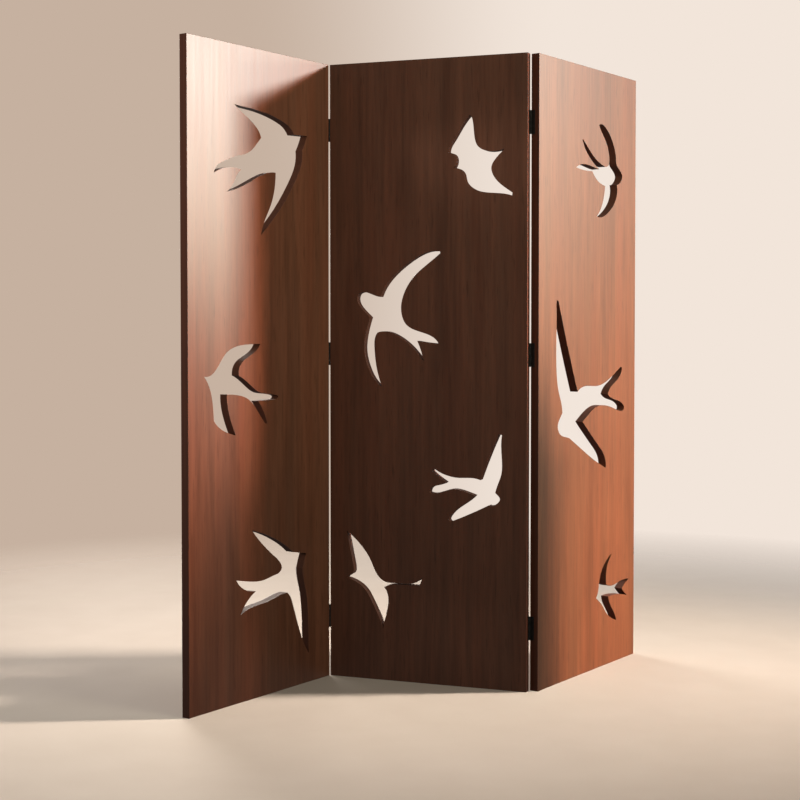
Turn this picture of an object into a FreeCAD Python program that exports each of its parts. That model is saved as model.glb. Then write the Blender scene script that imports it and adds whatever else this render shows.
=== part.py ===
"""A three-panel folding screen: veneered boards with swallows cut through them, joined by butt hinges.

Frame: millimetres, +Z up, X along the centre panel, front faces towards -Y. The origin is on the floor
under the middle of the centre panel. The left panel folds towards the front, the right one towards the back.
"""
import FreeCAD, Part
import math
import os
import Sketcher
from FreeCAD import Placement, Rotation, Vector

DOC = FreeCAD.newDocument("FoldingScreen")
SHEET = DOC.addObject("Spreadsheet::Sheet", "Sizes")

# Driving sizes, in millimetres and degrees
SIZES = {
    "panel_width": 600,
    "panel_height": 1800,
    "panel_thickness": 25,
    "veneer_thickness": 1,
    "band_thickness": 1,
    "arris_radius": 0.4,
    "fold_turn": 75,
    "fold_clearance": 0.5,
    "hinge_length": 67,
    "hinge_low_rise": 178,
    "hinge_mid_rise": 954,
    "hinge_high_drop": 191,
    "knuckle_radius": 2,
    "knuckle_clearance": 0.25,
    "knuckle_end_gap": 0.3,
    "pin_radius": 1.1,
    "pin_clearance": 0.05,
    "leaf_thickness": 1.5,
    "leaf_width": 12.5,
    "screw_set": 7.6,
    "screw_end_margin": 9.5,
    "screw_length": 16,
    "screw_point_length": 4,
    "screw_shank_radius": 1.4,
    "screw_head_radius": 2.5,
    "screw_clearance": 0.05,
    "screw_recess_length": 2.8,
    "screw_recess_width": 0.8,
    "screw_recess_depth": 0.6,
    "cutter_overrun": 5,
}

# Each swallow: its panel, the edges that its place is measured from, that place, and its reach from end to end.
# Its outline goes round in named stretches of (across, up) points from that place. Each stretch is a smooth
# curve, or a straight line where it has one point, and ends at the first point of the next.
SWALLOWS = {
    "left_upper": {
        "panel": "left", "from": ("middle", "top"), "place": (0, 300), "reach": 419,
        "outline": {
            "upper wing front": [(-114, 137), (0, 130), (90, 112), (120, 100)],
            "crown": [(141, 80)],
            "throat": [(200, 82), (190, 60)],
            "lower wing front": [(177, 38), (177, 12), (147, -50), (64, -150)],
            "lower wing back": [(-4, -211), (12, -170), (40, -122), (57, -65)],
            "belly": [(59, -34), (20, -39), (-10, -50), (-100, -89)],
            "lower tail inside": [(-167, -103), (-120, -79), (-100, -50)],
            "upper tail inside": [(-86, -37), (-130, -34)],
            "back": [(-196, -54), (-188, -38), (-150, -17), (-100, -1), (-50, 15), (-15, 45)],
            "upper wing back": [(-3, 57), (-10, 71), (-35, 93), (-80, 118)],
        },
    },
    "left_middle": {
        "panel": "left", "from": ("left", "bottom"), "place": (200, 850), "reach": 314,
        "outline": {
            "upper wing front": [(-138, 52), (-100, 61), (-80, 81), (-50, 113), (5, 133), (60, 136)],
            "upper wing back": [(91, 136), (45, 103), (13, 85)],
            "back": [(0, 51), (50, 23), (85, 3), (130, -4)],
            "upper tail tip": [(162, -9), (169, -14)],
            "upper tail inside": [(162, -20), (120, -21)],
            "lower tail inside": [(81, -22), (105, -53)],
            "lower tail tip": [(118, -80), (117, -87)],
            "belly": [(111, -86), (80, -51), (45, -18), (0, -3)],
            "lower wing back": [(-47, 1), (-47, -15), (-40, -50)],
            "lower wing front": [(-13, -112), (-40, -105), (-75, -90)],
            "breast": [(-100, -68), (-104, -25), (-112, 10)],
        },
    },
    "left_lower": {
        "panel": "left", "from": ("right", "bottom"), "place": (250, 300), "reach": 460,
        "outline": {
            "upper wing front": [(-96, 171), (-50, 157), (0, 137), (54, 108)],
            "crown": [(82, 88)],
            "throat": [(142, 77), (134, 58)],
            "lower wing front": [(126, 35), (130, 3), (140, -30), (149, -85), (153, -150)],
            "lower wing back": [(153, -216), (128, -178), (99, -112), (80, -60), (68, -36)],
            "belly": [(56, -25), (25, -27), (-28, -37), (-85, -42), (-120, -48)],
            "lower tail inside": [(-147, -60), (-130, -37), (-105, -15)],
            "upper tail inside": [(-81, -1), (-125, 9), (-145, 21)],
            "back": [(-162, 40), (-110, 30), (-50, 25), (0, 33), (25, 40)],
            "upper wing back": [(33, 51), (28, 61), (-5, 90), (-60, 134)],
        },
    },
    "centre_upper": {
        "panel": "centre", "from": ("right", "top"), "place": (150, 300), "reach": 263,
        "outline": {
            "upper wing front": [(-20, 134), (-45, 103), (-69, 65), (-80, 48)],
            "open beak": [(-84, 28), (-63, 20), (-60, 5)],
            "lower wing front": [(-70, -16), (-52, -17), (-39, -30), (-34, -50), (-5, -77), (50, -88)],
            "lower wing tip": [(105, -97)],
            "lower wing back": [(106, -89), (70, -63), (48, -35), (44, -16), (51, 1)],
            "back": [(83, 35), (60, 30), (30, 31), (5, 44), (-7, 80)],
            "upper wing tip": [(-15, 130)],
        },
    },
    "centre_middle": {
        "panel": "centre", "from": ("left", "bottom"), "place": (200, 1050), "reach": 430,
        "outline": {
            "upper wing front": [(141, 199), (100, 197), (65, 181), (18, 148), (-22, 107)],
            "head": [(-42, 70), (-74, 80), (-92, 84), (-110, 78), (-114, 63), (-105, 42)],
            "lower wing front": [(-74, 11), (-89, -45), (-92, -85), (-80, -135), (-58, -174)],
            "lower wing back": [(-37, -192), (-53, -138), (-60, -80), (-56, -42)],
            "belly": [(-50, -33), (-25, -30), (13, -43), (57, -76)],
            "lower tail inside": [(92, -117), (83, -84)],
            "upper tail inside": [(72, -57), (105, -62)],
            "back": [(137, -65), (125, -50), (100, -37), (62, -25), (38, -10), (24, 20)],
            "upper wing back": [(23, 50), (35, 88), (62, 128), (100, 161)],
            "upper wing tip": [(142, 194)],
        },
    },
    "centre_lower_right": {
        "panel": "centre", "from": ("right", "bottom"), "place": (150, 600), "reach": 296,
        "outline": {
            "upper wing front": [(77, 127), (76, 65), (74, 11), (65, -13)],
            "head": [(57, -38), (65, -45), (71, -55), (65, -66)],
            "lower wing front": [(38, -74), (-20, -102)],
            "lower wing tip": [(-76, -126), (-81, -122)],
            "lower wing back": [(-78, -111), (-64, -95), (-41, -78)],
            "belly": [(-3, -48), (-40, -36), (-67, -32), (-100, -40), (-124, -46)],
            "lower tail inside": [(-140, -44), (-137, -33), (-120, -24)],
            "upper tail inside": [(-90, -13), (-112, 1)],
            "upper tail tip": [(-131, 16), (-132, 21)],
            "back": [(-125, 25), (-88, 7), (-50, 1), (-13, 2)],
            "upper wing back": [(13, -3), (35, 55)],
            "upper wing tip": [(67, 129)],
        },
    },
    "centre_lower_left": {
        "panel": "centre", "from": ("left", "bottom"), "place": (150, 300), "reach": 305,
        "outline": {
            "upper wing back": [(-98, 132), (-55, 95), (-22, 49), (0, 6), (18, -9), (65, -13), (105, -12)],
            "tail end": [(139, 9)],
            "belly": [(129, -17), (100, -17), (55, -17), (35, -20)],
            "lower wing back": [(20, -27), (32, -51), (32, -80)],
            "lower wing front": [(17, -150), (0, -108), (-19, -71), (-44, -33), (-60, -21)],
            "upper wing front": [(-99, -6), (-88, 2), (-78, 10), (-76, 22), (-80, 46), (-88, 86)],
        },
    },
    "right_upper": {
        "panel": "right", "from": ("right", "top"), "place": (200, 300), "reach": 293,
        "outline": {
            "upper wing front": [(-43, 136), (-23, 141), (5, 130), (33, 108), (55, 80), (66, 52), (68, 38)],
            "head": [(75, 23), (95, 11), (109, -5), (100, -21)],
            "lower wing front": [(73, -33), (77, -50), (66, -81), (27, -116), (-25, -138)],
            "lower wing back": [(-56, -137), (-26, -107), (-10, -74)],
            "belly": [(-3, -42), (-32, -37), (-60, -25)],
            "lower tail outside": [(-85, -4), (-144, -5)],
            "lower tail inside": [(-184, -1), (-159, 9), (-120, 13), (-82, 9)],
            "upper tail inside": [(-41, 5), (-66, 15), (-97, 32), (-128, 56)],
            "upper tail tip": [(-146, 82)],
            "back": [(-143, 85), (-113, 64), (-66, 35), (-16, 18), (10, 17)],
            "upper wing back": [(22, 24), (22, 52), (11, 78), (-17, 108)],
        },
    },
    "right_middle": {
        "panel": "right", "from": ("middle", "bottom"), "place": (0, 800), "reach": 587,
        "outline": {
            "upper wing back": [(-186, 306), (-137, 188)],
            "back": [(-71, 42), (-48, 53), (0, 57), (52, 55), (105, 65), (168, 91)],
            "upper tail tip": [(203, 108), (211, 107)],
            "upper tail inside": [(213, 100), (199, 81), (157, 58)],
            "lower tail inside": [(120, 28), (168, 9), (210, -2)],
            "lower tail tip": [(226, -12), (228, -20)],
            "belly": [(220, -27), (204, -28), (173, -21), (105, -6), (60, -6), (10, -22)],
            "lower wing back": [(-39, -48), (10, -87), (63, -127), (97, -157)],
            "lower wing tip": [(109, -188), (106, -195)],
            "lower wing front": [(98, -193), (42, -171), (-42, -131)],
            "head": [(-120, -92), (-150, -86), (-179, -74), (-189, -53), (-178, -33)],
            "upper wing front": [(-162, -16), (-166, 6), (-185, 48), (-197, 105), (-199, 194)],
            "upper wing tip": [(-199, 298), (-194, 310)],
        },
    },
    "right_lower": {
        "panel": "right", "from": ("right", "bottom"), "place": (150, 220), "reach": 216,
        "outline": {
            "upper wing front": [(1, 115), (-18, 110), (-48, 90), (-73, 61), (-83, 33)],
            "crown": [(-86, 18), (-92, 4)],
            "lower wing front": [(-101, -7), (-80, -20), (-64, -32), (-32, -64), (-4, -81)],
            "lower wing back": [(31, -94), (12, -63), (-16, -29)],
            "belly": [(-22, -13), (16, -13), (62, -18)],
            "lower tail inside": [(101, -26), (83, -14)],
            "upper tail inside": [(67, -1), (85, 9)],
            "back": [(113, 23), (97, 25), (60, 24), (19, 18)],
            "upper wing back": [(-35, 25), (-37, 55), (-30, 80)],
        },
    },
}

# The side panels turn about the fold lines: -1 is the left one, before the front face, 1 the right one,
# behind the back face.
SIDES = {"left": -1, "right": 1}
STEPS = (-1, 0, 1)
KNUCKLES = 5

# Lengths that follow from the driving sizes, as expressions on the sheet
HALF_WIDTH = "Sizes.panel_width / 2"
HALF_THICKNESS = "Sizes.panel_thickness / 2"
HALF_GAP = "(Sizes.knuckle_radius + Sizes.knuckle_clearance)"
AXIS_ACROSS = f"({HALF_WIDTH} + {HALF_GAP})"
AXIS_OUT = f"({HALF_THICKNESS} + Sizes.fold_clearance)"
SIDE_ACROSS = f"({AXIS_ACROSS} + cos(Sizes.fold_turn) * {AXIS_ACROSS} + sin(Sizes.fold_turn) * {AXIS_OUT})"
SIDE_OUT = f"({AXIS_OUT} + sin(Sizes.fold_turn) * {AXIS_ACROSS} - cos(Sizes.fold_turn) * {AXIS_OUT})"
KNUCKLE_LENGTH = f"((Sizes.hinge_length - {KNUCKLES - 1} * Sizes.knuckle_end_gap) / {KNUCKLES})"
KNUCKLE_PITCH = f"({KNUCKLE_LENGTH} + Sizes.knuckle_end_gap)"
SCREW_STEP = "(Sizes.hinge_length / 2 - Sizes.screw_end_margin)"
HEAD_DEPTH = "(Sizes.screw_head_radius - Sizes.screw_shank_radius)"
HINGE_RISES = {
    "low": "Sizes.hinge_low_rise",
    "mid": "Sizes.hinge_mid_rise",
    "high": "(Sizes.panel_height - Sizes.hinge_high_drop)",
}

# Where the layers of a panel start and end, from its own middle and its foot
INNER_SIDE = f"({HALF_WIDTH} - Sizes.band_thickness)"
INNER_FACE = f"({HALF_THICKNESS} - Sizes.veneer_thickness)"
INNER_TOP = "(Sizes.panel_height - Sizes.band_thickness)"

PIECES = []


def keep(piece):
    """Counts a finished object among the sub-parts to write."""
    PIECES.append(piece)
    return piece


def fill_sheet():
    """Writes every driving size, and each swallow's place and reach, into the sheet with its alias."""
    cells = dict(SIZES)
    for name, swallow in SWALLOWS.items():
        cells[f"{name}_swallow_across"] = swallow["place"][0]
        cells[f"{name}_swallow_up"] = swallow["place"][1]
        cells[f"{name}_swallow_reach"] = swallow["reach"]
    for row, (alias, value) in enumerate(cells.items(), start=1):
        SHEET.set(f"A{row}", alias)
        SHEET.set(f"B{row}", str(value))
        SHEET.setAlias(f"B{row}", alias)
    DOC.recompute()


def value_of(expression):
    """Gives the number that an expression on the sheet stands for now."""
    return float(SHEET.evalExpression(expression))


def bind(thing, **expressions):
    """Ties properties to expressions; a double underscore in a name stands for a dot."""
    for path, expression in expressions.items():
        thing.setExpression(path.replace("__", "."), expression)


def stand_on_panel(piece, panel):
    """Puts a piece, drawn in its panel's own frame, where that panel stands on the opened screen."""
    if panel in SIDES:
        side = SIDES[panel]
        bind(
            piece,
            Placement__Base__x=f"{side} * {SIDE_ACROSS}",
            Placement__Base__y=f"{side} * {SIDE_OUT}",
            Placement__Rotation__Angle="Sizes.fold_turn",
        )
    return piece


def sketch_on(body, role, name, lift="0"):
    """Adds a sketch on one of a body's own origin planes, lifted along the plane's normal."""
    plane = next(item for item in body.Origin.OriginFeatures if item.Role == role)
    sketch = body.newObject("Sketcher::SketchObject", name)
    sketch.AttachmentSupport = (plane, [""])
    sketch.MapMode = "FlatFace"
    bind(sketch, AttachmentOffset__Base__z=lift)
    return sketch


def fix_point(sketch, geometry, position, across, up):
    """Holds a sketch point at two expressions from the sketch's origin."""
    for kind, expression in (("DistanceX", across), ("DistanceY", up)):
        constraint = Sketcher.Constraint(kind, -1, 1, geometry, position, value_of(expression))
        sketch.setExpression(f"Constraints[{sketch.addConstraint(constraint)}]", expression)


def draw_rectangle(sketch, west, east, south, north):
    """Draws a rectangle between four expressions."""
    xs = (value_of(west), value_of(east))
    ys = (value_of(south), value_of(north))
    corners = [Vector(xs[0], ys[0]), Vector(xs[1], ys[0]), Vector(xs[1], ys[1]), Vector(xs[0], ys[1])]
    for start, end in zip(corners, corners[1:] + corners[:1]):
        sketch.addGeometry(Part.LineSegment(start, end), False)
    for line in range(4):
        sketch.addConstraint(Sketcher.Constraint("Coincident", line, 2, (line + 1) % 4, 1))
        sketch.addConstraint(Sketcher.Constraint("Horizontal" if line % 2 == 0 else "Vertical", line))
    fix_point(sketch, 0, 1, west, south)
    fix_point(sketch, 2, 1, east, north)


def draw_circle(sketch, radius, across="0", up="0"):
    """Draws a circle of a bound radius round a bound centre."""
    centre = Vector(value_of(across), value_of(up))
    circle = sketch.addGeometry(Part.Circle(centre, Vector(0, 0, 1), value_of(radius)), False)
    fix_point(sketch, circle, 3, across, up)
    constraint = Sketcher.Constraint("Radius", circle, value_of(radius))
    sketch.setExpression(f"Constraints[{sketch.addConstraint(constraint)}]", radius)


def pad(body, sketch, length, side_type="One side"):
    """Pads a sketch by a bound length."""
    feature = body.newObject("PartDesign::Pad", f"{sketch.Name}Pad")
    feature.Profile = sketch
    feature.SideType = side_type
    bind(feature, Length=length)
    body.Tip = feature
    return feature


def board(name, west, east, front, back, low, high):
    """Makes a rectangular board between six expressions in its panel's frame."""
    body = DOC.addObject("PartDesign::Body", name)
    body.Label = name
    sketch = sketch_on(body, "XY_Plane", f"{name}_section", low)
    draw_rectangle(sketch, west, east, front, back)
    pad(body, sketch, f"{high} - {low}")
    DOC.recompute()
    return body


def ease_edges(body, outward):
    """Rounds the two long edges of a band's outer face, which looks along the given direction."""
    blank = body.Tip
    shape = blank.Shape
    face = max(shape.Faces, key=lambda item: item.CenterOfMass.dot(outward))
    longest = max(edge.Length for edge in face.Edges)
    names = [
        f"Edge{number}"
        for number, edge in enumerate(shape.Edges, start=1)
        if edge.Length > longest / 2 and any(edge.isSame(other) for other in face.Edges)
    ]
    fillet = body.newObject("PartDesign::Fillet", f"{body.Name}_arris")
    fillet.Base = (blank, names)
    bind(fillet, Radius="min(Sizes.arris_radius; Sizes.band_thickness / 2)")
    body.Tip = fillet
    DOC.recompute()
    return body


def cut(label, blank, tools):
    """Cuts tools out of a blank and checks that material went."""
    cutters = DOC.addObject("Part::Compound", f"{label}_cutters")
    cutters.Links = tools
    piece = DOC.addObject("Part::Cut", label)
    piece.Label = label
    piece.Base = blank
    piece.Tool = cutters
    DOC.recompute()
    assert piece.Shape.Volume < blank.Shape.Volume, f"{label}: nothing was cut"
    return piece


def swallow_wire(sketch, name):
    """Draws a swallow's outline in a sketch, at the reach that the sheet gives it."""
    stretches = list(SWALLOWS[name]["outline"].values())
    points = [point for stretch in stretches for point in stretch]
    drawn_reach = max(math.dist(one, other) for one in points for other in points)
    scale = value_of(f"Sizes.{name}_swallow_reach") / drawn_reach
    for stretch, following in zip(stretches, stretches[1:] + stretches[:1]):
        through = [Vector(across * scale, up * scale) for across, up in stretch + following[:1]]
        if len(through) == 2:
            sketch.addGeometry(Part.LineSegment(*through), False)
        else:
            curve = Part.BSplineCurve()
            curve.interpolate(through)
            sketch.addGeometry(curve, False)


def swallow_cutter(name):
    """Makes the solid that a swallow-shaped hole takes out of all three layers of its panel."""
    across = f"Sizes.{name}_swallow_across"
    up = f"Sizes.{name}_swallow_up"
    from_side, from_end = SWALLOWS[name]["from"]
    across_from = {"left": f"{across} - {HALF_WIDTH}", "middle": across, "right": f"{HALF_WIDTH} - {across}"}
    up_from = {"bottom": up, "top": f"Sizes.panel_height - {up}"}
    sketch = DOC.addObject("Sketcher::SketchObject", f"{name}_swallow")
    sketch.Placement = Placement(Vector(), Rotation(Vector(1, 0, 0), 90))
    swallow_wire(sketch, name)
    bind(
        sketch,
        Placement__Base__x=across_from[from_side],
        Placement__Base__y=f"{HALF_THICKNESS} + Sizes.cutter_overrun",
        Placement__Base__z=up_from[from_end],
    )
    cutter = DOC.addObject("Part::Extrusion", f"{name}_swallow_cutter")
    cutter.Base = sketch
    cutter.DirMode = "Normal"
    cutter.Solid = True
    bind(cutter, LengthFwd="Sizes.panel_thickness + 2 * Sizes.cutter_overrun")
    return cutter


def make_screw():
    """Makes one cross-head countersunk wood screw, its head's top at the origin and its point down."""
    head = DOC.addObject("Part::Cone", "screw_head")
    bind(
        head,
        Radius1="Sizes.screw_shank_radius",
        Radius2="Sizes.screw_head_radius",
        Height=HEAD_DEPTH,
        Placement__Base__z=f"-{HEAD_DEPTH}",
    )
    shank = DOC.addObject("Part::Cylinder", "screw_shank")
    bind(
        shank,
        Radius="Sizes.screw_shank_radius",
        Height=f"Sizes.screw_length - Sizes.screw_point_length - {HEAD_DEPTH}",
        Placement__Base__z="Sizes.screw_point_length - Sizes.screw_length",
    )
    point = DOC.addObject("Part::Cone", "screw_point")
    point.Radius1 = 0
    bind(
        point,
        Radius2="Sizes.screw_shank_radius",
        Height="Sizes.screw_point_length",
        Placement__Base__z="-Sizes.screw_length",
    )
    uncut = DOC.addObject("Part::MultiFuse", "uncut_screw")
    uncut.Shapes = [head, shank, point]
    recess = DOC.addObject("Part::MultiFuse", "screw_recess")
    recess.Shapes = [
        make_recess_slot("screw_slot_along", "Sizes.screw_recess_length", "Sizes.screw_recess_width"),
        make_recess_slot("screw_slot_across", "Sizes.screw_recess_width", "Sizes.screw_recess_length"),
    ]
    screw = DOC.addObject("Part::Cut", "screw")
    screw.Base = uncut
    screw.Tool = recess
    return screw


def make_recess_slot(name, length, width):
    """Makes one arm of a screw's cross recess, which runs out past the top of the head."""
    slot = DOC.addObject("Part::Box", name)
    bind(
        slot,
        Length=length,
        Width=width,
        Height="Sizes.screw_recess_depth + Sizes.cutter_overrun",
        Placement__Base__x=f"-{length} / 2",
        Placement__Base__y=f"-{width} / 2",
        Placement__Base__z="-Sizes.screw_recess_depth",
    )
    return slot


def make_pilot():
    """Makes the cutter for one screw's pilot hole, in the same place as the screw."""
    pilot = DOC.addObject("Part::Cylinder", "pilot")
    bind(
        pilot,
        Radius="Sizes.screw_shank_radius + Sizes.screw_clearance",
        Height="Sizes.screw_length + Sizes.screw_clearance",
        Placement__Base__z="-(Sizes.screw_length + Sizes.screw_clearance)",
    )
    return pilot


def copies_at_hinges(name, master, edge, face):
    """Sets a copy of a master at each screw of one panel edge: edge -1 is its left, face -1 its front."""
    across = edge * value_of(f"{HALF_WIDTH} + Sizes.leaf_thickness")
    out = face * value_of(f"{AXIS_OUT} - Sizes.screw_set")
    step = value_of(SCREW_STEP)
    turn = Rotation(Vector(0, 0, 1), Vector(edge, 0, 0))
    copies = []
    for rise in HINGE_RISES.values():
        for number in STEPS:
            copy = master.Shape.copy()
            copy.Placement = Placement(Vector(across, out, value_of(rise) + number * step), turn) * copy.Placement
            copies.append(copy)
    group = DOC.addObject("Part::Feature", name)
    group.Label = name
    group.Shape = Part.makeCompound(copies)
    return group


def make_leaf(label, knuckles):
    """Makes one hinge leaf about its fold line: its plate lies against the panel, on the side of -X."""
    body = DOC.addObject("PartDesign::Body", label)
    body.Label = label
    outer = f"-{HALF_GAP}"
    inner = f"-({HALF_GAP} - Sizes.leaf_thickness)"
    plate = sketch_on(body, "XY_Plane", f"{label}_plate")
    draw_rectangle(plate, outer, inner, HALF_GAP, "Sizes.leaf_width")
    pad(body, plate, "Sizes.hinge_length", "Symmetric")
    first = f"-{knuckles - 1} * {KNUCKLE_PITCH}"
    tongue = sketch_on(body, "XY_Plane", f"{label}_tongue", first)
    draw_rectangle(tongue, outer, inner, "0", HALF_GAP)
    tongue_pad = pad(body, tongue, KNUCKLE_LENGTH, "Symmetric")
    knuckle = sketch_on(body, "XY_Plane", f"{label}_knuckle", first)
    draw_circle(knuckle, "Sizes.knuckle_radius")
    knuckle_pad = pad(body, knuckle, KNUCKLE_LENGTH, "Symmetric")
    DOC.recompute()
    row = body.newObject("PartDesign::LinearPattern", f"{label}_knuckles")
    row.Originals = [tongue_pad, knuckle_pad]
    row.Direction = (knuckle, ["N_Axis"])
    row.Mode = "Spacing"
    row.Occurrences = knuckles
    bind(row, Offset=f"2 * {KNUCKLE_PITCH}")
    body.Tip = row
    DOC.recompute()
    bore = sketch_on(body, "XY_Plane", f"{label}_bore")
    draw_circle(bore, "Sizes.pin_radius + Sizes.pin_clearance")
    pocket = body.newObject("PartDesign::Pocket", f"{label}_bore_pocket")
    pocket.Profile = bore
    pocket.SideType = "Symmetric"
    bind(pocket, Length="2 * Sizes.hinge_length")
    body.Tip = pocket
    DOC.recompute()
    solid_volume = body.Shape.Volume
    drill_screw_holes(body, label, inner)
    assert body.Shape.Volume < solid_volume, f"{label}: no screw holes"
    return body


def drill_screw_holes(body, label, face):
    """Drills a leaf's countersunk holes from the face of its plate that looks into the gap."""
    sketch = sketch_on(body, "YZ_Plane", f"{label}_holes", face)
    for number in STEPS:
        draw_circle(sketch, "Sizes.screw_shank_radius", "Sizes.screw_set", f"{number} * {SCREW_STEP}")
    DOC.recompute()
    hole = body.newObject("PartDesign::Hole", f"{label}_screw_holes")
    hole.Profile = sketch
    hole.ThreadType = "None"
    hole.DepthType = "ThroughAll"
    hole.HoleCutType = "Countersink"
    hole.HoleCutCustomValues = True
    hole.HoleCutCountersinkAngle = 90
    bind(
        hole,
        Diameter="2 * (Sizes.screw_shank_radius + Sizes.screw_clearance)",
        HoleCutDiameter="2 * (Sizes.screw_head_radius + Sizes.screw_clearance)",
    )
    body.Tip = hole
    DOC.recompute()


def make_pin(label):
    """Makes a hinge pin as long as the knuckles that it joins."""
    pin = DOC.addObject("Part::Cylinder", label)
    pin.Label = label
    bind(pin, Radius="Sizes.pin_radius", Height="Sizes.hinge_length")
    return pin


def stand_on_fold(piece, side, rise):
    """Puts a hinge piece on the fold line of one side, at a height."""
    bind(
        piece,
        Placement__Base__x=f"{SIDES[side]} * {AXIS_ACROSS}",
        Placement__Base__y=f"{SIDES[side]} * {AXIS_OUT}",
        Placement__Base__z=rise,
    )
    return keep(piece)


def make_hinge(side, level):
    """Makes one butt hinge: a leaf on the centre panel, a leaf on the side panel, and the pin."""
    rise = HINGE_RISES[level]
    name = f"{side}_hinge_{level}"
    centre_leaf = make_leaf(f"{name}_centre_leaf", 3)
    flip_axis = Vector(0, 1, 0) if side == "left" else Vector(1, 0, 0)
    centre_leaf.Placement = Placement(Vector(), Rotation(flip_axis, 180))
    stand_on_fold(centre_leaf, side, rise)
    side_leaf = make_leaf(f"{name}_side_leaf", 2)
    half_turn = 0 if side == "left" else 180
    bind(side_leaf, Placement__Rotation__Angle=f"Sizes.fold_turn + {half_turn}")
    stand_on_fold(side_leaf, side, rise)
    stand_on_fold(make_pin(f"{name}_pin"), side, f"{rise} - Sizes.hinge_length / 2")


def make_panel(panel, hinged_edges, screw, pilot):
    """Makes a panel's core, veneers, edge bands and hinge screws.

    hinged_edges gives, for each edge with hinges (-1 left, 1 right), the face that its fold line lies by.
    """
    label = f"{panel}_panel"
    swallows = [swallow_cutter(name) for name, swallow in SWALLOWS.items() if swallow["panel"] == panel]
    pilots = {
        edge: copies_at_hinges(f"{label}_pilots_{'left' if edge < 0 else 'right'}", pilot, edge, face)
        for edge, face in hinged_edges.items()
    }
    within = (f"-{INNER_SIDE}", INNER_SIDE)
    height = ("Sizes.band_thickness", INNER_TOP)
    full_thickness = (f"-{HALF_THICKNESS}", HALF_THICKNESS)
    layers = {
        "core": ((f"-{INNER_FACE}", INNER_FACE), swallows + list(pilots.values())),
        "front_veneer": ((f"-{HALF_THICKNESS}", f"-{INNER_FACE}"), swallows),
        "back_veneer": ((INNER_FACE, HALF_THICKNESS), swallows),
    }
    for layer, (faces, tools) in layers.items():
        blank = board(f"{label}_{layer}_blank", *within, *faces, *height)
        keep(stand_on_panel(cut(f"{label}_{layer}", blank, tools), panel))
    ends = {"top": (INNER_TOP, "Sizes.panel_height", 1), "bottom": ("0", "Sizes.band_thickness", -1)}
    for end, (low, high, up) in ends.items():
        band = board(f"{label}_{end}_band", *within, *full_thickness, low, high)
        keep(stand_on_panel(ease_edges(band, Vector(0, 0, up)), panel))
    edges = {"left": (f"-{HALF_WIDTH}", f"-{INNER_SIDE}", -1), "right": (INNER_SIDE, HALF_WIDTH, 1)}
    for edge_name, (west, east, edge) in edges.items():
        name = f"{label}_{edge_name}_band"
        hinged = edge in hinged_edges
        band = board(f"{name}_blank" if hinged else name, west, east, *full_thickness, "0", "Sizes.panel_height")
        ease_edges(band, Vector(edge, 0, 0))
        keep(stand_on_panel(cut(name, band, [pilots[edge]]) if hinged else band, panel))
    for edge, face in hinged_edges.items():
        side = "" if len(hinged_edges) == 1 else "_left" if edge < 0 else "_right"
        keep(stand_on_panel(copies_at_hinges(f"{label}{side}_screws", screw, edge, face), panel))


def check():
    """Stops the build if any object failed, or any sub-part is empty or broken."""
    for thing in DOC.Objects:
        assert not {"Invalid", "Error"} & set(thing.State), f"{thing.Label} failed: {thing.State}"
    for piece in PIECES:
        assert not piece.Shape.isNull() and piece.Shape.isValid(), f"{piece.Label} has a broken shape"
        assert piece.Shape.Solids, f"{piece.Label} has no solid"


def main():
    """Builds the screen and writes one STEP file per sub-part."""
    fill_sheet()
    screw = make_screw()
    pilot = make_pilot()
    DOC.recompute()
    make_panel("left", {1: -1}, screw, pilot)
    make_panel("centre", {-1: -1, 1: 1}, screw, pilot)
    make_panel("right", {-1: 1}, screw, pilot)
    for side in SIDES:
        for level in HINGE_RISES:
            make_hinge(side, level)
    DOC.recompute()
    check()
    os.makedirs("parts", exist_ok=True)
    for piece in PIECES:
        piece.Shape.exportStep(f"parts/{piece.Label}.step")


main()
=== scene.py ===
"""Dresses the folding screen in lacquered walnut, dark edges and black hinges, in a plain studio.

Lengths are metres in the part's own frame: X along the centre panel, front faces towards -Y, Z up.
"""
import logging
import math
from dataclasses import dataclass, replace
from enum import Enum
from typing import Any

import bpy
from bpy.types import Collection, Material, Node, NodeSocket, NodeTree, Object
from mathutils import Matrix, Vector

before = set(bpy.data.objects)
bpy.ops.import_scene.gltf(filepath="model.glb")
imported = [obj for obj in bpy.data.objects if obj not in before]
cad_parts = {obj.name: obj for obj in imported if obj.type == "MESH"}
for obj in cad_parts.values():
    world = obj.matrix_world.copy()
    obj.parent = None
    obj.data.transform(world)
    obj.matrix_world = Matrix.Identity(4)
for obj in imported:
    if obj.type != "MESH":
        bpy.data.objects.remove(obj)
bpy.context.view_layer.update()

LOG = logging.getLogger("folding_screen")
MM = 0.001
IMAGE_SIDE = 800
# The tilt of a camera that looks level.
LEVEL_VIEW_DEG = 90.0
CLEAR = 0.0
OPAQUE = 1.0
# Where red, green and blue start in a hex code, and the largest value of each.
HEX_STARTS = (1, 3, 5)
HEX_FULL = 255
# The sRGB curve: a straight foot, and a power above it.
FOOT_END = 0.04045
FOOT_SLOPE = 12.92
CURVE_LIFT = 0.055
CURVE_POWER = 2.4
# The sockets of a Mix node that mixes colours.
MIX_SHARE = 0
MIX_FIRST = 6
MIX_SECOND = 7
# A noise pattern that takes its size from the space it is drawn in.
SIZE_OF_SPACE = 1.0


class Place(Enum):
    """Where a panel stands, seen from the front."""

    LEFT = "left"
    CENTRE = "centre"
    RIGHT = "right"


class Grain(Enum):
    """Which way the grain of a strip of wood runs on its panel, in degrees from the upright."""

    UPRIGHT = 0.0
    LEVEL = 90.0


class Marks(Enum):
    """How much the marks of a pattern are broken up, as a number of finer layers."""

    PLAIN = 1.0
    BROKEN = 2.0
    FEATHERED = 3.0


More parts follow.
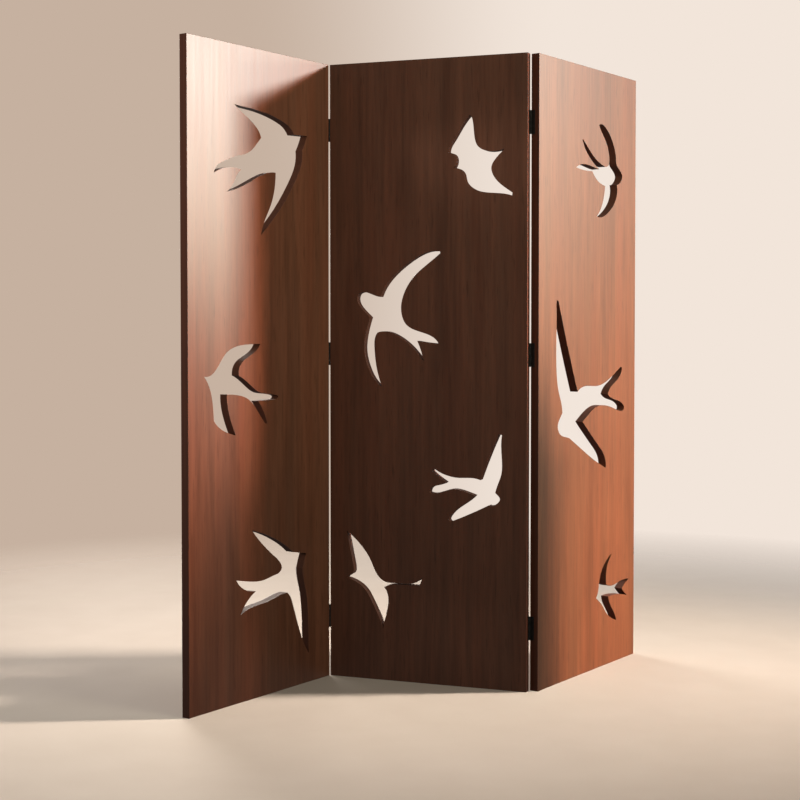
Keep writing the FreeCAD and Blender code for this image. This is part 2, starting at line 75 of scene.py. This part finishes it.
class Reach(Enum):
    """What a light falls on."""

    EVERYTHING = "everything"
    SCREEN = "screen"
    FLOOR = "floor"
    CUTS = "cuts"


class Listing(Enum):
    """Whether a light's list names the pieces that count for it, or those that don't."""

    COUNTED = "INCLUDE"
    LEFT_OUT = "EXCLUDE"


@dataclass(frozen=True)
class Stand:
    """Where a panel's own frame stands: its middle on the floor and its turn about the upright.

    The middles and turns are those of the opened screen, so that each panel's grain follows its
    own board. The leaf's start is how far up the log, in metres, its veneer begins.
    """

    middle: tuple[float, float]
    turn_deg: float
    leaf_start: float


STANDS = {
    Place.LEFT: Stand(middle=(-0.39304, -0.30159), turn_deg=75.0, leaf_start=3.1),
    Place.CENTRE: Stand(middle=(0.0, 0.0), turn_deg=0.0, leaf_start=7.4),
    Place.RIGHT: Stand(middle=(0.39304, 0.30159), turn_deg=75.0, leaf_start=12.8),
}


def linear(hex_code: str) -> tuple[float, float, float, float]:
    """Turns an sRGB hex colour into linear light.

    Args:
        hex_code: six hex digits after a hash sign.

    Returns:
        Linear red, green and blue, and an alpha of one.
    """
    light = []
    for start in HEX_STARTS:
        part = int(hex_code[start:start + 2], 16) / HEX_FULL
        if part <= FOOT_END:
            light.append(part / FOOT_SLOPE)
        else:
            light.append(((part + CURVE_LIFT) / (1 + CURVE_LIFT)) ** CURVE_POWER)
    return (light[0], light[1], light[2], OPAQUE)


def add_node(
    tree: NodeTree,
    kind: str,
    inputs: dict[str | int, Any] | None = None,
    **settings: Any,
) -> Node:
    """Adds a node with its settings, and sets or links its inputs.

    Args:
        tree: the node tree that it goes into.
        kind: Blender's name for the kind of node.
        inputs: for each input, by name or number, a value, a socket to link from, or a node whose
            first output in use is linked.
        settings: the node's own properties.

    Returns:
        The new node.
    """
    node = tree.nodes.new(kind)
    for key, value in settings.items():
        setattr(node, key, value)
    for key, value in (inputs or {}).items():
        if isinstance(value, Node):
            value = next(socket for socket in value.outputs if socket.enabled)
        if isinstance(value, NodeSocket):
            tree.links.new(value, node.inputs[key])
        else:
            node.inputs[key].default_value = value
    return node


def empty_material(name: str) -> tuple[Material, NodeTree]:
    """Makes a node material with no nodes.

    Args:
        name: the material's name.

    Returns:
        The material and its node tree.
    """
    material = bpy.data.materials.new(name)
    material.use_nodes = True
    material.node_tree.nodes.clear()
    return material, material.node_tree


def board_space(tree: NodeTree, stand: Stand, grain: Grain) -> Node:
    """Gives a point's place on its board: across the grain, through the board, along the grain.

    Args:
        tree: the material's node tree.
        stand: where the board's panel stands.
        grain: which way the grain runs.

    Returns:
        The node with that place, in metres.
    """
    point = add_node(tree, "ShaderNodeTexCoord").outputs["Object"]
    panel = add_node(
        tree,
        "ShaderNodeMapping",
        {
            "Vector": point,
            "Location": (stand.middle[0], stand.middle[1], -stand.leaf_start),
            "Rotation": (0.0, 0.0, math.radians(stand.turn_deg)),
        },
        vector_type="TEXTURE",
    )
    turn = (0.0, math.radians(grain.value), 0.0)
    return add_node(tree, "ShaderNodeMapping", {"Vector": panel, "Rotation": turn})


def figure(
    tree: NodeTree,
    space: Node | NodeSocket,
    size_mm: tuple[float, float],
    marks: Marks,
) -> Node:
    """Draws uneven marks of a given size along the grain.

    Args:
        tree: the material's node tree.
        space: a place on the board, in metres.
        size_mm: the marks' usual width across the grain and length along it.
        marks: how much they are broken up.

    Returns:
        The node with the marks' strength, from 0 to 1.
    """
    across, along = (1 / (size * MM) for size in size_mm)
    scaled = add_node(
        tree,
        "ShaderNodeMapping",
        {"Vector": space, "Scale": (across, across, along)},
    )
    return add_node(
        tree,
        "ShaderNodeTexNoise",
        {"Vector": scaled, "Scale": SIZE_OF_SPACE, "Detail": marks.value},
    )


@dataclass(frozen=True)
class WalnutVeneer:
    """Straight-grained walnut, sliced into veneer, sanded and sprayed with a satin lacquer."""

    # Slicing gives the eye long upright bands and streaks that wander a little and turn redder or
    # greyer from place to place, with short dark pores along them. The lacquer lies level over
    # them and gives a broad soft sheen.
    pale_wood: str = "#84543d"
    dark_wood: str = "#68412e"
    red_cast: str = "#7d4a34"
    grey_cast: str = "#714c39"
    pore: str = "#523322"
    band_mm: tuple[float, float] = (85.0, 2000.0)
    streak_mm: tuple[float, float] = (26.0, 560.0)
    cast_mm: tuple[float, float] = (40.0, 800.0)
    # Real growth lines are under a millimetre apart, and are drawn wider here so that they show.
    line_mm: tuple[float, float] = (10.0, 230.0)
    # Real pores are a few tenths of a millimetre wide, and are drawn wider for the same reason.
    pore_mm: tuple[float, float] = (4.5, 60.0)
    wander_mm: tuple[float, float] = (220.0, 620.0)
    wander_by_mm: float = 14.0
    tone_range: tuple[float, float] = (1.18, 1.82)
    cast_range: tuple[float, float, float] = (0.27, 0.5, 0.73)
    cast_share: float = 0.6
    pore_range: tuple[float, float] = (0.6, 0.78)
    pore_share: float = 0.55
    pore_dip: float = 0.35
    relief_mm: float = 0.05
    line_range: tuple[float, float] = (0.3, 0.7)
    roughness: tuple[float, float] = (0.36, 0.38)
    lacquer_ior: float = 1.47

    def material(self, place: Place) -> Material:
        """Makes the veneer of one panel, with a leaf of its own.

        Args:
            place: the panel.

        Returns:
            The material.
        """
        material, tree = empty_material(f"satin_lacquered_walnut_{place.value}")
        space = self.wandering(tree, board_space(tree, STANDS[place], Grain.UPRIGHT))
        line = figure(tree, space, self.line_mm, Marks.BROKEN)
        wood = self.grain_colour(tree, space, line)
        pore = add_node(
            tree,
            "ShaderNodeMapRange",
            {
                "Value": figure(tree, space, self.pore_mm, Marks.PLAIN),
                "From Min": self.pore_range[0],
                "From Max": self.pore_range[1],
                "To Max": self.pore_share,
            },
        )
        wood = add_node(
            tree,
            "ShaderNodeMix",
            {MIX_SHARE: pore, MIX_FIRST: wood, MIX_SECOND: linear(self.pore)},
            data_type="RGBA",
        )
        rough = add_node(
            tree,
            "ShaderNodeMapRange",
            {
                "Value": line,
                "From Min": self.line_range[0],
                "From Max": self.line_range[1],
                "To Min": self.roughness[0],
                "To Max": self.roughness[1],
            },
        )
        dip = add_node(
            tree,
            "ShaderNodeBump",
            {"Height": pore, "Strength": self.pore_dip, "Distance": self.relief_mm * MM},
            invert=True,
        )
        shader = add_node(
            tree,
            "ShaderNodeBsdfPrincipled",
            {"Base Color": wood, "Roughness": rough, "Normal": dip, "IOR": self.lacquer_ior},
        )
        add_node(tree, "ShaderNodeOutputMaterial", {"Surface": shader})
        return material

    def wandering(self, tree: NodeTree, space: Node) -> Node:
        """Lets the grain drift a little from side to side on its way up.

        Args:
            tree: the material's node tree.
            space: a place on the board, in metres.

        Returns:
            The node with the drifted place.
        """
        drift = add_node(
            tree,
            "ShaderNodeMapRange",
            {
                "Value": figure(tree, space, self.wander_mm, Marks.PLAIN),
                "To Max": self.wander_by_mm * MM,
            },
        )
        step = add_node(tree, "ShaderNodeCombineXYZ", {"X": drift})
        return add_node(tree, "ShaderNodeVectorMath", {0: space, 1: step}, operation="ADD")

    def grain_colour(self, tree: NodeTree, space: Node, line: Node) -> Node:
        """Colours the bands, streaks and lines from dark to pale, some redder and some greyer.

        Args:
            tree: the material's node tree.
            space: a place on the board, in metres.
            line: the strength of the growth lines.

        Returns:
            The node with the colour.
        """
        band = figure(tree, space, self.band_mm, Marks.PLAIN)
        streak = figure(tree, space, self.streak_mm, Marks.FEATHERED)
        broad = add_node(tree, "ShaderNodeMath", {0: band, 1: streak}, operation="ADD")
        tone = add_node(tree, "ShaderNodeMath", {0: broad, 1: line}, operation="ADD")
        shade = add_node(
            tree,
            "ShaderNodeMapRange",
            {"Value": tone, "From Min": self.tone_range[0], "From Max": self.tone_range[1]},
        )
        wood = add_node(
            tree,
            "ShaderNodeMix",
            {
                MIX_SHARE: shade,
                MIX_FIRST: linear(self.dark_wood),
                MIX_SECOND: linear(self.pale_wood),
            },
            data_type="RGBA",
        )
        cast = figure(tree, space, self.cast_mm, Marks.BROKEN)
        grey_at, plain_at, red_at = self.cast_range
        for colour, full_at in ((self.grey_cast, grey_at), (self.red_cast, red_at)):
            share = add_node(
                tree,
                "ShaderNodeMapRange",
                {
                    "Value": cast,
                    "From Min": plain_at,
                    "From Max": full_at,
                    "To Max": self.cast_share,
                },
            )
            wood = add_node(
                tree,
                "ShaderNodeMix",
                {MIX_SHARE: share, MIX_FIRST: wood, MIX_SECOND: linear(colour)},
                data_type="RGBA",
            )
        return wood


@dataclass(frozen=True)
class StainedWood:
    """Dark stained wood: an edge band under satin lacquer, or the sawn board inside a cut-out."""

    # The stain hides most of the wood's colour from the eye, so that only faint streaks along the
    # grain show. The sawn board drinks its stain and stays dull and rough, while the lacquered
    # band has a low sheen.
    name: str
    dark: str
    pale: str
    streak_mm: tuple[float, float]
    # Real fibres are finer than a tenth of a millimetre, and are drawn wider so that they show.
    fibre_mm: tuple[float, float]
    roughness: tuple[float, float]
    relief_mm: float
    tone_range: tuple[float, float] = (0.7, 1.3)
    fibre_range: tuple[float, float] = (0.3, 0.7)
    fibre_rise: float = 0.4
    lacquer_ior: float = 1.5

    def material(self, place: Place, grain: Grain) -> Material:
        """Makes the stained wood of one panel.

        Args:
            place: the panel.
            grain: which way the grain runs.

        Returns:
            The material.
        """
        material, tree = empty_material(f"{self.name}_{place.value}_{grain.name.lower()}")
        space = board_space(tree, STANDS[place], grain)
        streak = figure(tree, space, self.streak_mm, Marks.BROKEN)
        fibre = figure(tree, space, self.fibre_mm, Marks.FEATHERED)
        tone = add_node(tree, "ShaderNodeMath", {0: streak, 1: fibre}, operation="ADD")
        shade = add_node(
            tree,
            "ShaderNodeMapRange",
            {"Value": tone, "From Min": self.tone_range[0], "From Max": self.tone_range[1]},
        )
        wood = add_node(
            tree,
            "ShaderNodeMix",
            {MIX_SHARE: shade, MIX_FIRST: linear(self.dark), MIX_SECOND: linear(self.pale)},
            data_type="RGBA",
        )
        rough = add_node(
            tree,
            "ShaderNodeMapRange",
            {
                "Value": fibre,
                "From Min": self.fibre_range[0],
                "From Max": self.fibre_range[1],
                "To Min": self.roughness[0],
                "To Max": self.roughness[1],
            },
        )
        rise = add_node(
            tree,
            "ShaderNodeBump",
            {"Height": fibre, "Strength": self.fibre_rise, "Distance": self.relief_mm * MM},
        )
        shader = add_node(
            tree,
            "ShaderNodeBsdfPrincipled",
            {"Base Color": wood, "Roughness": rough, "Normal": rise, "IOR": self.lacquer_ior},
        )
        add_node(tree, "ShaderNodeOutputMaterial", {"Surface": shader})
        return material


@dataclass(frozen=True)
class BlackSteel:
    """Pressed mild steel with a baked black paint."""

    # The sprayed and baked coat gives the eye an almost level black with a faint orange peel,
    # which handling rubs a little paler and shinier in patches.
    paint: str = "#242321"
    rubbed: str = "#33312e"
    # Real orange peel is about half a millimetre across, and is drawn wider so that it shows.
    peel_mm: float = 1.2
    patch_mm: float = 9.0
    patch_range: tuple[float, float] = (0.35, 0.7)
    roughness: tuple[float, float] = (0.5, 0.32)
    relief_mm: float = 0.03
    peel_rise: float = 0.3

    def material(self) -> Material:
        """Makes the paint.

        Returns:
            The material.
        """
        material, tree = empty_material("baked_black_paint_on_steel")
        point = add_node(tree, "ShaderNodeTexCoord").outputs["Object"]
        peel = figure(tree, point, (self.peel_mm, self.peel_mm), Marks.PLAIN)
        patch = figure(tree, point, (self.patch_mm, self.patch_mm), Marks.BROKEN)
        rubbing = add_node(
            tree,
            "ShaderNodeMapRange",
            {"Value": patch, "From Min": self.patch_range[0], "From Max": self.patch_range[1]},
        )
        colour = add_node(
            tree,
            "ShaderNodeMix",
            {MIX_SHARE: rubbing, MIX_FIRST: linear(self.paint), MIX_SECOND: linear(self.rubbed)},
            data_type="RGBA",
        )
        rough = add_node(
            tree,
            "ShaderNodeMapRange",
            {"Value": rubbing, "To Min": self.roughness[0], "To Max": self.roughness[1]},
        )
        rise = add_node(
            tree,
            "ShaderNodeBump",
            {"Height": peel, "Strength": self.peel_rise, "Distance": self.relief_mm * MM},
        )
        shader = add_node(
            tree,
            "ShaderNodeBsdfPrincipled",
            {"Base Color": colour, "Roughness": rough, "Normal": rise},
        )
        add_node(tree, "ShaderNodeOutputMaterial", {"Surface": shader})
        return material


@dataclass(frozen=True)
class PaleFloor:
    """A matt painted studio floor, which fades out round the screen so that no far edge shows."""

    # Rolled matt paint gives the eye a pale, dull, faintly scuffed ground. It throws little of its
    # light back on the screen, as a floor of dark boards would.
    paint: str = "#cfc3b9"
    scuff: str = "#c6b9ae"
    thrown_back: str = "#1a1512"
    scuff_mm: float = 160.0
    roughness: float = 0.9
    fade_from: float = 1.3
    fade_to: float = 3.4

    def material(self) -> Material:
        """Makes the floor's paint.

        Returns:
            The material.
        """
        material, tree = empty_material("rolled_matt_floor_paint")
        point = add_node(tree, "ShaderNodeTexCoord").outputs["Object"]
        scuff = figure(tree, point, (self.scuff_mm, self.scuff_mm), Marks.FEATHERED)
        paint = add_node(
            tree,
            "ShaderNodeMix",
            {MIX_SHARE: scuff, MIX_FIRST: linear(self.paint), MIX_SECOND: linear(self.scuff)},
            data_type="RGBA",
        )
        seen = add_node(tree, "ShaderNodeLightPath").outputs["Is Camera Ray"]
        colour = add_node(
            tree,
            "ShaderNodeMix",
            {MIX_SHARE: seen, MIX_FIRST: linear(self.thrown_back), MIX_SECOND: paint},
            data_type="RGBA",
        )
        reach = add_node(tree, "ShaderNodeVectorMath", {0: point}, operation="LENGTH")
        shown = add_node(
            tree,
            "ShaderNodeMapRange",
            {
                "Value": reach,
                "From Min": self.fade_from,
                "From Max": self.fade_to,
                "To Min": OPAQUE,
                "To Max": CLEAR,
            },
        )
        shader = add_node(
            tree,
            "ShaderNodeBsdfPrincipled",
            {"Base Color": colour, "Roughness": self.roughness, "Alpha": shown},
        )
        add_node(tree, "ShaderNodeOutputMaterial", {"Surface": shader})
        return material


@dataclass
class Finishes:
    """The finishes that the pieces share."""

    veneer: dict[Place, Material]
    upright_band: dict[Place, Material]
    level_band: dict[Place, Material]
    cut_board: dict[Place, Material]
    steel: Material

    @classmethod
    def made(cls) -> "Finishes":
        """Makes every finish once.

        Returns:
            The finishes.
        """
        walnut = WalnutVeneer()
        # The right panel's leaf comes from a more golden part of the log.
        golden = replace(
            walnut,
            pale_wood="#84583a",
            dark_wood="#68442b",
            red_cast="#7d4d31",
            grey_cast="#715036",
        )
        leaves = {Place.LEFT: walnut, Place.CENTRE: walnut, Place.RIGHT: golden}
        band = StainedWood(
            name="dark_edge_band",
            dark="#5d3423",
            pale="#74422b",
            streak_mm=(5.0, 700.0),
            fibre_mm=(2.5, 120.0),
            roughness=(0.4, 0.5),
            relief_mm=0.04,
        )
        board = StainedWood(
            name="stained_sawn_board",
            dark="#51301f",
            pale="#683c28",
            streak_mm=(4.0, 60.0),
            fibre_mm=(1.6, 8.0),
            roughness=(0.6, 0.75),
            relief_mm=0.05,
        )
        return cls(
            veneer={place: leaf.material(place) for place, leaf in leaves.items()},
            upright_band={place: band.material(place, Grain.UPRIGHT) for place in Place},
            level_band={place: band.material(place, Grain.LEVEL) for place in Place},
            cut_board={place: board.material(place, Grain.UPRIGHT) for place in Place},
            steel=BlackSteel().material(),
        )


def dress(node: str, material: Material) -> None:
    """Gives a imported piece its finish.

    Args:
        node: the piece's name.
        material: its finish.
    """
    piece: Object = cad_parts[node]
    piece.data.materials.clear()
    piece.data.materials.append(material)
    LOG.info("%s: %s", node, material.name)


@dataclass
class Panel:
    """One board of the screen with its veneers, its edge bands and its hinge screws."""

    place: Place
    screw_rows: tuple[str, ...]

    def dress(self, finishes: Finishes) -> None:
        """Gives each layer of the board its finish.

        Args:
            finishes: the finishes that the pieces share.
        """
        name = f"{self.place.value}_panel"
        dress(f"{name}_core", finishes.cut_board[self.place])
        for face in ("front", "back"):
            dress(f"{name}_{face}_veneer", finishes.veneer[self.place])
        for edge in ("left", "right"):
            dress(f"{name}_{edge}_band", finishes.upright_band[self.place])
        for end in ("top", "bottom"):
            dress(f"{name}_{end}_band", finishes.level_band[self.place])
        for row in self.screw_rows:
            dress(row, finishes.steel)


@dataclass
class Joint:
    """The butt hinges of one joint, each with two leaves and a pin."""

    side: Place
    levels: tuple[str, ...] = ("low", "mid", "high")

    def dress(self, finishes: Finishes) -> None:
        """Gives each hinge its paint.

        Args:
            finishes: the finishes that the pieces share.
        """
        for level in self.levels:
            for piece in ("centre_leaf", "side_leaf", "pin"):
                dress(f"{self.side.value}_hinge_{level}_{piece}", finishes.steel)


def listed(name: str, pieces: list[Object], listing: Listing) -> Collection:
    """Lists the pieces that a light falls on or is blocked by, or those that it isn't.

    Args:
        name: the list's name.
        pieces: the pieces.
        listing: whether they count for the light.

    Returns:
        The list.
    """
    pieces_listed = bpy.data.collections.new(name)
    for piece in pieces:
        pieces_listed.objects.link(piece)
    for entry in pieces_listed.collection_objects:
        entry.light_linking.link_state = listing.value
    return pieces_listed


@dataclass(frozen=True)
class SoftBox:
    """A soft box on a stand: a flat lit face, with a grid that narrows its beam."""

    name: str
    place: tuple[float, float, float]
    aim: tuple[float, float, float]
    face: tuple[float, float]
    grid_deg: float
    watts: float
    colour: str
    lights_wood: bool = True
    shows_in_gloss: bool = True
    reach: Reach = Reach.EVERYTHING

    def build(self, floor: Object, net: Object) -> None:
        """Hangs the box, turns it to its aim, and flags it off what it isn't for.

        Args:
            floor: the floor, which has a light of its own.
            net: the net across the key's beam, which the floor's light goes past.
        """
        lamp = bpy.data.lights.new(self.name, "AREA")
        lamp.shape = "RECTANGLE"
        lamp.size, lamp.size_y = self.face
        lamp.spread = math.radians(self.grid_deg)
        lamp.energy = self.watts
        lamp.color = linear(self.colour)[:3]
        box = bpy.data.objects.new(self.name, lamp)
        box.location = self.place
        away = Vector(self.place) - Vector(self.aim)
        box.rotation_euler = away.to_track_quat("Z", "Y").to_euler()
        box.visible_diffuse = self.lights_wood
        box.visible_glossy = self.shows_in_gloss
        bpy.context.scene.collection.objects.link(box)
        linking = box.light_linking
        if self.reach is Reach.SCREEN:
            linking.receiver_collection = listed(f"{self.name}_misses", [floor], Listing.LEFT_OUT)
        if self.reach is Reach.FLOOR:
            linking.receiver_collection = listed(f"{self.name}_lights", [floor], Listing.COUNTED)
            linking.blocker_collection = listed(f"{self.name}_passes", [net], Listing.LEFT_OUT)
        if self.reach is Reach.CUTS:
            boards = [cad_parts[f"{place.value}_panel_core"] for place in Place]
            linking.receiver_collection = listed(f"{self.name}_lights", boards, Listing.COUNTED)


SOFT_BOXES = (
    # The key stands far out on the right and a little behind, so that it lights the fronts of the
    # side panels and leaves the centre panel dark.
    SoftBox(
        name="key",
        place=(6.556, 2.796, 3.2),
        aim=(0.15, 0.05, 0.16),
        face=(0.8, 0.4),
        grid_deg=40.0,
        watts=73.0,
        colour="#ffcbb3",
        shows_in_gloss=False,
        reach=Reach.SCREEN,
    ),
    # The floor's share of the key is plainer in colour, so that the floor stays pale.
    SoftBox(
        name="floor_key",
        place=(6.556, 2.796, 3.2),
        aim=(0.15, 0.05, 0.4),
        face=(0.8, 0.4),
        grid_deg=30.0,
        watts=43.5,
        colour="#fff3e5",
        shows_in_gloss=False,
        reach=Reach.FLOOR,
    ),
    # Two boxes by the key show only as the lacquer's sheen, one high up and one low down.
    SoftBox(
        name="key_sheen",
        place=(6.471, 3.198, 3.17),
        aim=(0.0, 0.0, 1.2),
        face=(0.9, 0.45),
        grid_deg=120.0,
        watts=244.0,
        colour="#fff5ea",
        lights_wood=False,
    ),
    SoftBox(
        name="low_sheen",
        place=(6.402, 3.333, 1.85),
        aim=(0.0, 0.0, 1.0),
        face=(0.9, 0.9),
        grid_deg=120.0,
        watts=86.0,
        colour="#fff5d6",
        lights_wood=False,
    ),
    # Three more boxes lift the front, the edge of the left panel and the back.
    SoftBox(
        name="front_fill",
        place=(2.6, -1.0, 2.9),
        aim=(0.12, -0.05, 1.4),
        face=(1.1, 1.1),
        grid_deg=70.0,
        watts=7.6,
        colour="#fffde5",
        shows_in_gloss=False,
    ),
    SoftBox(
        name="edge_fill",
        place=(-3.2, -1.25, 1.6),
        aim=(-0.46, -0.59, 1.5),
        face=(0.7, 0.7),
        grid_deg=60.0,
        watts=6.3,
        colour="#f4f6ff",
        shows_in_gloss=False,
        reach=Reach.SCREEN,
    ),
    SoftBox(
        name="back_fill",
        place=(-3.0, 2.6, 1.9),
        aim=(0.0, 0.0, 0.9),
        face=(1.8, 1.8),
        grid_deg=130.0,
        watts=90.0,
        colour="#fff8ee",
    ),
    # The last box falls only on the boards inside the cut-outs.
    SoftBox(
        name="cut_fill",
        place=(1.7, 3.3, 1.1),
        aim=(0.0, 0.0, 0.9),
        face=(1.8, 1.8),
        grid_deg=100.0,
        watts=60.0,
        colour="#d0e8ff",
        shows_in_gloss=False,
        reach=Reach.CUTS,
    ),
)


@dataclass(frozen=True)
class KeyNet:
    """A black net across the key's beam, which thins its light low down on the left panel."""

    # Woven net gives no shape of its own to the eye: it only thins the light, less and less
    # towards its edges. Higher up its far side leans back, and its top slants.
    cloth: str = "#0a0a0a"
    turn_deg: float = 24.0
    reach: float = 1.35
    across: tuple[float, float] = (-0.5, 0.01)
    heights: tuple[float, float] = (0.33, 1.59)
    soft_side: float = 0.1
    side_lean: float = 0.35
    side_lean_from: float = 1.0
    side_lean_to: float = 2.0
    soft_top: float = 0.45
    slant: float = 2.5
    slant_from: float = 2.12
    stops: float = 0.91

    def build(self) -> Object:
        """Stands the net across the beam, where it only shades and is not seen.

        Returns:
            The net.
        """
        mesh = bpy.data.meshes.new("key_net")
        near, far = self.across
        low, high = self.heights
        corners = [(0.0, near, low), (0.0, far, low), (0.0, far, high), (0.0, near, high)]
        mesh.from_pydata(corners, [], [(0, 1, 2, 3)])
        mesh.materials.append(self.material())
        net = bpy.data.objects.new("key_net", mesh)
        turn = math.radians(self.turn_deg)
        net.location = (self.reach * math.cos(turn), self.reach * math.sin(turn), 0.0)
        net.rotation_euler = (0.0, 0.0, turn)
        net.visible_camera = False
        net.visible_diffuse = False
        net.visible_glossy = False
        bpy.context.scene.collection.objects.link(net)
        return net

    def material(self) -> Material:
        """Makes net that thins out towards its far side, its top and a line that slants across.

        Returns:
            The material.
        """
        material, tree = empty_material("black_net")
        point = add_node(tree, "ShaderNodeTexCoord").outputs["Object"]
        along = add_node(tree, "ShaderNodeSeparateXYZ", {"Vector": point}).outputs
        lean = add_node(
            tree,
            "ShaderNodeMath",
            {0: along["Y"], 1: -self.slant, 2: along["Z"]},
            operation="MULTIPLY_ADD",
        )
        set_back = add_node(
            tree,
            "ShaderNodeMapRange",
            {
                "Value": along["Z"],
                "From Min": self.side_lean_from,
                "From Max": self.side_lean_to,
                "To Max": self.side_lean,
            },
        )
        far_side = add_node(tree, "ShaderNodeMath", {0: along["Y"], 1: set_back}, operation="ADD")
        edges = (
            (far_side, self.across[1], self.soft_side),
            (along["Z"], self.heights[1], self.soft_top),
            (lean, self.slant_from, self.soft_top),
        )
        side, top, slanted = (
            add_node(
                tree,
                "ShaderNodeMapRange",
                {"Value": value, "From Min": bare_at, "From Max": bare_at - soft},
                interpolation_type="SMOOTHSTEP",
            )
            for value, bare_at, soft in edges
        )
        upper = add_node(tree, "ShaderNodeMath", {0: top, 1: slanted}, operation="MINIMUM")
        full = add_node(tree, "ShaderNodeMath", {0: side, 1: upper}, operation="MULTIPLY")
        thick = add_node(tree, "ShaderNodeMath", {0: full, 1: self.stops}, operation="MULTIPLY")
        shader = add_node(
            tree,
            "ShaderNodeBsdfPrincipled",
            {"Base Color": linear(self.cloth), "Alpha": thick},
        )
        add_node(tree, "ShaderNodeOutputMaterial", {"Surface": shader})
        return material


@dataclass
class Studio:
    """A plain pale floor, soft boxes round the screen, and a pale backdrop all round with painted
    shade towards -X.
    """

    floor_half: float = 4.0
    fill_colour: str = "#fffdfa"
    fill_strength: float = 0.166
    sheen_strength: float = 0.128
    backdrop_painted_shade: str = "#c6b1a0"
    backdrop_bright: str = "#f2e5da"
    # The seen backdrop carries painted shade towards -X: it goes from dim to bright between these
    # two directions, as shares of X.
    backdrop_shade_turn: tuple[float, float] = (-0.44, -0.24)

    def build(self) -> None:
        """Makes the floor, the lights and the surroundings."""
        floor = self.make_floor()
        net = KeyNet().build()
        for box in SOFT_BOXES:
            box.build(floor, net)
        self.make_surroundings()

    def make_floor(self) -> Object:
        """Lays the floor under the screen.

        Returns:
            The floor.
        """
        mesh = bpy.data.meshes.new("floor")
        half = self.floor_half
        corners = [(-half, -half, 0.0), (half, -half, 0.0), (half, half, 0.0), (-half, half, 0.0)]
        mesh.from_pydata(corners, [], [(0, 1, 2, 3)])
        mesh.materials.append(PaleFloor().material())
        floor = bpy.data.objects.new("floor", mesh)
        floor.visible_glossy = False
        bpy.context.scene.collection.objects.link(floor)
        return floor

    def make_surroundings(self) -> None:
        """Sets the backdrop that is seen, with painted shade towards -X, and the weak fill that
        comes from all round.
        """
        world = bpy.data.worlds.new("studio")
        world.use_nodes = True
        tree = world.node_tree
        tree.nodes.clear()
        ray = add_node(tree, "ShaderNodeLightPath").outputs
        way = add_node(tree, "ShaderNodeTexCoord").outputs["Generated"]
        along = add_node(tree, "ShaderNodeSeparateXYZ", {"Vector": way}).outputs
        strength = add_node(
            tree,
            "ShaderNodeMapRange",
            {
                "Value": ray["Is Glossy Ray"],
                "To Min": self.fill_strength,
                "To Max": self.sheen_strength,
            },
        )
        fill = add_node(
            tree,
            "ShaderNodeBackground",
            {"Color": linear(self.fill_colour), "Strength": strength},
        )
        # The dim side of the seen backdrop is painted shade, not shade cast by the boxes.
        dim_at, bright_at = self.backdrop_shade_turn
        lit = add_node(
            tree,
            "ShaderNodeMapRange",
            {"Value": along["X"], "From Min": dim_at, "From Max": bright_at},
            interpolation_type="SMOOTHSTEP",
        )
        wall = add_node(
            tree,
            "ShaderNodeMix",
            {
                MIX_SHARE: lit,
                MIX_FIRST: linear(self.backdrop_painted_shade),
                MIX_SECOND: linear(self.backdrop_bright),
            },
            data_type="RGBA",
        )
        seen = add_node(tree, "ShaderNodeBackground", {"Color": wall})
        both = add_node(
            tree,
            "ShaderNodeMixShader",
            {0: ray["Is Camera Ray"], 1: fill, 2: seen},
        )
        add_node(tree, "ShaderNodeOutputWorld", {"Surface": both})
        bpy.context.scene.world = world
        bpy.context.scene.view_settings.view_transform = "Standard"


@dataclass
class ViewPoint:
    """The photograph's point of view."""

    position: tuple[float, float, float] = (1.4349, -4.1061, 1.0497)
    turn_deg: float = 20.318
    tilt_down_deg: float = 1.777
    focal_pixels: float = 1507.3
    axis_row: float = 367.9
    sensor_mm: float = 36.0

    def build(self) -> None:
        """Makes the camera."""
        camera = bpy.data.cameras.new("camera")
        camera.sensor_fit = "HORIZONTAL"
        camera.sensor_width = self.sensor_mm
        camera.lens = self.focal_pixels / IMAGE_SIDE * self.sensor_mm
        camera.shift_y = (self.axis_row - IMAGE_SIDE / 2) / IMAGE_SIDE
        seen_from = bpy.data.objects.new("camera", camera)
        seen_from.location = self.position
        tilt = math.radians(LEVEL_VIEW_DEG - self.tilt_down_deg)
        seen_from.rotation_euler = (tilt, 0.0, math.radians(self.turn_deg))
        bpy.context.scene.collection.objects.link(seen_from)
        bpy.context.scene.camera = seen_from


def main() -> None:
    """Builds the view and the studio, then dresses the screen piece by piece."""
    logging.basicConfig(level=logging.INFO)
    ViewPoint().build()
    Studio().build()
    finishes = Finishes.made()
    panels = [
        Panel(Place.LEFT, ("left_panel_screws",)),
        Panel(Place.CENTRE, ("centre_panel_left_screws", "centre_panel_right_screws")),
        Panel(Place.RIGHT, ("right_panel_screws",)),
    ]
    for panel in panels:
        panel.dress(finishes)
    for side in (Place.LEFT, Place.RIGHT):
        Joint(side).dress(finishes)


if __name__ == "__main__":
    main()
